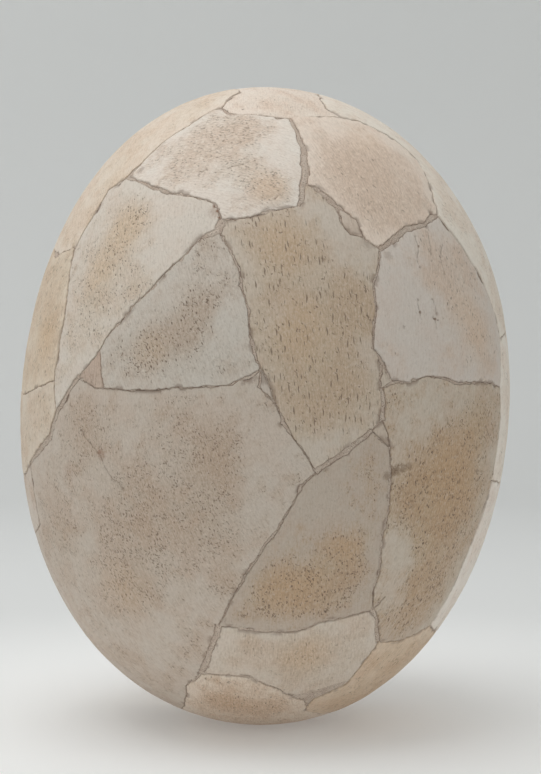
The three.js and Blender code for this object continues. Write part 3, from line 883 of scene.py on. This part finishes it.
# What sets a sherd of the front apart from its family. Each place is a point of the photograph with a
# radius in mm. Areas say how much more stained it is there, or less where below 0, washes the tint of the
# stain, and spots the strength and colour of a single mark. Cracks are lines of such points
LOOKS = {
    "crown": {
        "pale": (237, 224, 210), "tan": (227, 208, 190), "specks": 0.12,
        "areas": [(272, 104, 12, 0.3), (310, 108, 10, 0.3)], "spots": [(243, 109, 0.8, 0.7, UMBER)],
    },
    "left_shoulder": {
        "tan": (222, 201, 176), "angle": 50, "areas": [(118, 185, 12, 0.5), (96, 215, 8, 0.6)],
        "washes": [(140, 165, 16, OCHRE), (95, 215, 10, RUDDY)],
    },
    "upper_middle": {
        "pale": (236, 227, 216), "tan": (219, 200, 181), "angle": 75,
        "slits": 0.5, "length": 2.6, "specks": 0.8, "darkness": 0.5,
        "areas": [(225, 135, 18, 0.5), (185, 160, 12, 0.2), (272, 190, 9, 0.7), (250, 172, 10, 0.3),
                  (288, 150, 14, -0.7), (215, 200, 10, -0.5), (155, 172, 8, -0.4)],
        "washes": [(270, 185, 10, OCHRE), (210, 140, 12, RUDDY), (175, 165, 10, RUDDY)],
        "spots": [(141, 170, 2.2, 0.4, DIRT_AND_SHADE), (234, 113, 1.8, 0.5, DIRT_AND_SHADE), (229, 110, 1.8, 0.5, DIRT_AND_SHADE)],
        "cracks": [
            [(199, 174), (203, 172), (207, 169)], [(228, 168), (236, 166), (247, 163.5)],
            [(275.5, 198), (278, 196.5), (280.5, 194.5)],
        ],
    },
    "upper_right": {
        "pale": (236, 221, 206), "tan": (220, 201, 183), "specks": 0.12, "slits": 0.06, "stained": 0.4,
        "darkness": 0.45,
        "areas": [(380, 195, 22, 0.6), (352, 160, 14, 0.3), (330, 128, 8, -0.5), (425, 205, 8, 0.4)],
        "washes": [(375, 190, 26, RUDDY), (365, 135, 12, OCHRE)],
        "spots": [(431, 213, 2.4, 0.5, DIRT_AND_SHADE), (322, 196, 1.2, 0.4, DIRT_AND_SHADE)],
    },
    "right_shoulder": {"pale": (238, 229, 216), "tan": (231, 217, 200)},
    "left_upper": {
        "pale": (224, 214, 202), "tan": (215, 199, 179), "stained": 0.35, "angle": 20,
        "slits": 0.3, "length": 3.0, "specks": 0.7,
        "areas": [(130, 225, 10, 0.8), (108, 262, 12, 0.7), (95, 300, 8, 0.6), (138, 290, 7, 0.5),
                  (190, 215, 20, -0.6), (160, 185, 8, -0.3), (100, 340, 10, 0.3), (165, 255, 8, -0.3)],
        "washes": [(125, 230, 14, OCHRE), (100, 270, 10, OCHRE), (135, 290, 8, RUDDY),
                   (75, 330, 8, RUDDY)],
        "spots": [(214, 206, 0.9, 0.7, RUST), (217, 211, 0.9, 0.8, RUST), (219, 217, 0.8, 0.8, RUST),
                  (214, 212, 3.0, 0.3, RUST)],
    },
    "left_rim_upper": {
        "pale": (228, 213, 193), "tan": (214, 193, 168), "areas": [(48, 330, 12, 0.4)],
        "washes": [(45, 340, 12, OCHRE)],
    },
    "left_rim_lower": {"pale": (226, 212, 195), "tan": (212, 191, 167)},
    "middle_left": {
        "pale": (211, 203, 192), "tan": (197, 182, 166), "stained": 0.36, "angle": 20,
        "slits": 0.6, "length": 3.4, "specks": 0.8, "darkness": 0.8,
        "areas": [(178, 335, 11, 0.7), (205, 303, 8, 0.5), (190, 318, 8, 0.5), (150, 350, 9, 0.5),
                  (210, 240, 8, 0.4), (238, 330, 12, -0.5), (170, 300, 6, -0.3), (215, 265, 6, -0.3)],
        "washes": [(208, 300, 10, RUDDY), (178, 335, 9, RUDDY), (150, 350, 9, OCHRE)],
    },
    "left_chip": {"pale": (207, 188, 172), "tan": (178, 152, 134), "stained": 0.6, "specks": 0.9},
    "centre": {
        "pale": (210, 198, 184), "tan": (202, 182, 158), "length": 9.0, "slits": 0.5, "specks": 0.3,
        "stained": 0.5, "margin": 0.12, "darkness": 0.66,
        "areas": [(282, 245, 14, 0.4), (255, 225, 8, 0.3), (310, 330, 26, 0.35), (348, 305, 12, 0.5),
                  (338, 390, 12, 0.5), (305, 390, 12, 0.3), (368, 318, 8, 0.3), (300, 425, 9, 0.3),
                  (315, 208, 7, -0.4), (364, 240, 12, -0.8),
                  (318, 457, 9, -0.5), (370, 350, 7, -0.4), (275, 310, 6, -0.3)],
        "washes": [(285, 245, 14, OCHRE), (300, 330, 14, OCHRE), (349, 305, 11, RUDDY),
                   (342, 390, 9, RUDDY), (252, 225, 6, RUDDY)],
        "spots": [(368, 243, 3.2, 0.35, DIRT_AND_SHADE)],
    },
    "lens_chip": {"pale": (212, 197, 182), "tan": (200, 184, 167)},
    "sliver_chip": {"pale": (206, 196, 184), "tan": (196, 182, 168)},
    "right_upper": {
        "pale": (216, 206, 196), "tan": (219, 200, 182), "stained": 0.3, "angle": -12,
        "slits": 0.12, "specks": 0.3,
        "areas": [(450, 285, 16, 0.6), (482, 345, 14, 0.6), (425, 240, 7, 0.3), (462, 255, 10, 0.3),
                  (398, 310, 20, -0.8), (425, 350, 14, -0.4)],
        "washes": [(440, 265, 12, RUDDY), (470, 320, 14, OCHRE)],
        "spots": [(420, 312, 0.8, 0.8, UMBER), (435, 319, 0.8, 0.8, UMBER), (438, 320, 0.6, 0.6, UMBER),
                  (418.5, 246, 0.6, 0.7, UMBER), (404, 327, 0.9, 0.4, UMBER),
                  (388, 255, 2.4, 0.3, DIRT_AND_SHADE)],
        "cracks": [
            [(415.5, 236), (417.5, 243), (419, 247), (418, 256), (418, 262), (420, 267)],
            [(429, 233), (430, 241), (431, 247), (432, 254)],
            [(443, 244), (442, 250), (441, 258), (444, 268), (445, 277)],
            [(418, 299), (418.5, 305), (420, 313), (422, 320)],
            [(433, 299), (436, 308), (436.5, 313)],
            [(433.5, 318), (436, 321), (437, 328)],
        ],
    },
    "corner_chip": {"pale": (207, 195, 180), "tan": (196, 181, 162)},
    "notch_chip": {"pale": (205, 190, 174), "tan": (194, 176, 158)},
    "right_rim_upper": {"pale": (243, 234, 222), "tan": (236, 223, 208)},
    "right_rim_lower": {"pale": (243, 234, 223), "tan": (235, 222, 209)},
    "right_lower": {
        "pale": (207, 195, 180), "tan": (194, 167, 136), "stained": 0.42, "margin": 0.1, "angle": -8,
        "slits": 0.3, "specks": 0.85, "darkness": 0.9,
        "areas": [(455, 480, 24, 0.8), (435, 530, 20, 0.6), (478, 425, 12, 0.6), (403, 490, 12, 0.6),
                  (425, 590, 14, 0.4), (412, 425, 10, -0.6), (440, 400, 12, -0.4), (396, 545, 8, -0.7),
                  (399, 566, 8, -0.6), (390, 592, 8, -0.4), (465, 565, 12, 0.2)],
        "washes": [(430, 600, 16, RUDDY), (455, 470, 22, OCHRE), (405, 500, 10, RUDDY)],
        "spots": [(391, 472, 3.0, 0.65, UMBER), (397, 470, 2.8, 0.5, UMBER),
                  (403, 468, 2.4, 0.45, UMBER), (409, 466, 1.8, 0.4, UMBER)],
    },
    "lower_left": {
        "pale": (208, 196, 183), "tan": (197, 178, 159), "length": 3.0, "slits": 0.3, "specks": 0.8,
        "stained": 0.42, "angle": 6, "darkness": 0.6,
        "areas": [(85, 432, 14, 0.5), (215, 460, 14, 0.8), (205, 515, 16, 0.6), (140, 520, 22, 0.5),
                  (170, 410, 12, 0.3), (230, 585, 8, 0.5), (130, 590, 16, 0.4), (60, 530, 12, 0.3),
                  (275, 445, 18, -0.7), (250, 520, 8, -0.3), (235, 405, 10, -0.3), (130, 400, 10, -0.3),
                  (150, 640, 20, -0.25)],
        "washes": [(220, 460, 12, RUDDY), (80, 430, 12, RUDDY), (120, 590, 14, OCHRE),
                   (230, 585, 8, RUDDY)],
        "spots": [(101, 455, 3.2, 0.4, RUST), (99, 452, 1.4, 0.5, RUST), (68, 470, 3.0, 0.2, RUST),
                  (244, 382, 1.8, 0.45, DIRT_AND_SHADE), (250, 381, 2.0, 0.45, DIRT_AND_SHADE), (256, 378, 1.6, 0.4, DIRT_AND_SHADE)],
        "cracks": [
            [(81, 430), (85, 438), (91, 445), (97, 452), (101, 458), (105, 469), (112, 479), (118, 483),
             (123.5, 491)],
        ],
    },
    "lower_centre": {
        "pale": (197, 184, 170), "tan": (196, 172, 145), "specks": 0.85, "length": 2.6, "stained": 0.35,
        "slits": 0.3, "darkness": 0.78,
        "areas": [(345, 555, 12, 0.9), (325, 590, 12, 0.8), (285, 590, 12, 0.7), (262, 595, 8, 0.4),
                  (325, 500, 16, -0.7), (376, 550, 6, -0.6), (290, 545, 8, -0.3)],
        "washes": [(345, 540, 10, OCHRE), (290, 590, 14, OCHRE), (350, 585, 7, RUDDY)],
        "spots": [(387, 476, 2.4, 0.5, UMBER)],
    },
    "lower_band": {
        "pale": (219, 207, 193), "tan": (207, 188, 167), "areas": [(305, 655, 12, 0.6), (250, 640, 8, 0.3)],
        "washes": [(305, 655, 12, OCHRE)],
    },
    "lower_right": {"pale": (226, 206, 184), "tan": (212, 186, 156), "stained": 0.6},
    "foot": {
        "pale": (232, 218, 202), "tan": (208, 181, 154), "areas": [(225, 702, 9, 0.7), (262, 710, 9, 0.5)],
        "washes": [(240, 705, 14, RUDDY)],
    },
}

# The floor and the wall, in metres: a flat round floor that bends up into a low wall
FLOOR_RADIUS = 1.6
BEND_RADIUS = 0.9
BEND_STEPS = 12
WALL_TOP = 1.8
FLOOR_CORNERS = 96
FLOOR_COLOUR = (231, 232, 231)

# The floor's glow by the egg and where it ends, for the light that the photograph's floor throws back
FLOOR_GLOW = 0.15
GLOW_FULL = 0.1
GLOW_ENDS = 0.42
WHITE = (1.0, 1.0, 1.0, 1.0)

# The lamps: a place and a target in metres, a size and a power
LAMPS = {
    "key": ((-0.4, -0.2, 1.7), tuple(HEART * MM), 1.3, 11.5),
    "left": ((-1.5, -0.6, 0.9), tuple(HEART * MM), 1.2, 1.2),
    "back": ((-0.9, 1.1, 1.7), (-1.2, 2.3, 0.9), 1.0, 2.6),
}
AIR_COLOUR = (0.965, 0.975, 0.97, 1.0)
AIR_STRENGTH = 0.575


def light(name, place, target, size, power):
    """A soft square lamp at a place, turned to a target."""
    lamp = bpy.data.lights.new(name, "AREA")
    lamp.shape = "SQUARE"
    lamp.size = size
    lamp.energy = power
    item = bpy.data.objects.new(name, lamp)
    item.location = place
    item.rotation_euler = (Vector(target) - Vector(place)).to_track_quat("-Z", "Y").to_euler()
    bpy.context.scene.collection.objects.link(item)


def floor_mesh():
    """The floor and the wall as one round mesh."""
    profile = []
    for step in range(BEND_STEPS + 1):
        turn = math.radians(90 * step / BEND_STEPS)
        out = FLOOR_RADIUS + BEND_RADIUS * math.sin(turn)
        profile.append((out, BEND_RADIUS * (1 - math.cos(turn))))
    profile.append((FLOOR_RADIUS + BEND_RADIUS, WALL_TOP))
    points = [(0.0, 0.0, 0.0)]
    faces = []
    for ring, (out, up) in enumerate(profile):
        for i in range(FLOOR_CORNERS):
            turn = 2 * math.pi * i / FLOOR_CORNERS
            points.append((out * math.cos(turn), out * math.sin(turn), up))
            a = 1 + ring * FLOOR_CORNERS + i
            b = 1 + ring * FLOOR_CORNERS + (i + 1) % FLOOR_CORNERS
            faces.append((0, a, b) if ring == 0 else (a - FLOOR_CORNERS, a, b, b - FLOOR_CORNERS))
    mesh = bpy.data.meshes.new("floor")
    mesh.from_pydata(points, [], faces)
    mesh.polygons.foreach_set("use_smooth", [True] * len(faces))
    return mesh


def studio():
    """A pale floor and wall under soft light."""
    s = Shader("floor")
    away = s.length(s.add("NewGeometry"))
    s.put(s.surface, "Base Color", linear(FLOOR_COLOUR))
    s.put(s.surface, "Roughness", 0.9)
    s.put(s.surface, "Emission Strength", s.between(away, GLOW_FULL, GLOW_ENDS, FLOOR_GLOW, 0.0))
    s.put(s.surface, "Emission Color", WHITE)
    mesh = floor_mesh()
    mesh.materials.append(s.material)
    floor = bpy.data.objects.new("floor", mesh)
    bpy.context.scene.collection.objects.link(floor)

    for name, lamp in LAMPS.items():
        light(name, *lamp)
    world = bpy.data.worlds.new("studio")
    world.use_nodes = True
    air = world.node_tree.nodes["Background"]
    air.inputs["Color"].default_value = AIR_COLOUR
    air.inputs["Strength"].default_value = AIR_STRENGTH
    bpy.context.scene.world = world
    bpy.context.scene.view_settings.view_transform = "Standard"


def camera():
    """The photograph's view."""
    long_side = max(PICTURE)
    lens = bpy.data.cameras.new("camera")
    lens.sensor_width = 36.0
    lens.lens = VIEW_SCALE * lens.sensor_width / long_side
    lens.shift_x = (PICTURE[0] / 2 - EGG_IN_VIEW[0]) / long_side
    lens.shift_y = (EGG_IN_VIEW[1] - PICTURE[1] / 2) / long_side
    item = bpy.data.objects.new("camera", lens)
    item.location = (0.0, -EYE_DISTANCE * MM, MIDDLE * MM)
    item.rotation_euler = (math.pi / 2, 0.0, 0.0)
    bpy.context.scene.collection.objects.link(item)
    bpy.context.scene.camera = item


noise.seed_set(1)
camera()
studio()
rims = []
for number, node in enumerate(SHERD_NODES):
    look = {**FAMILY[SLOT_OF[node]], **LOOKS.get(node, BACK_LOOK)}
    rims.append(sherd(node, number, look))
filler(rims)
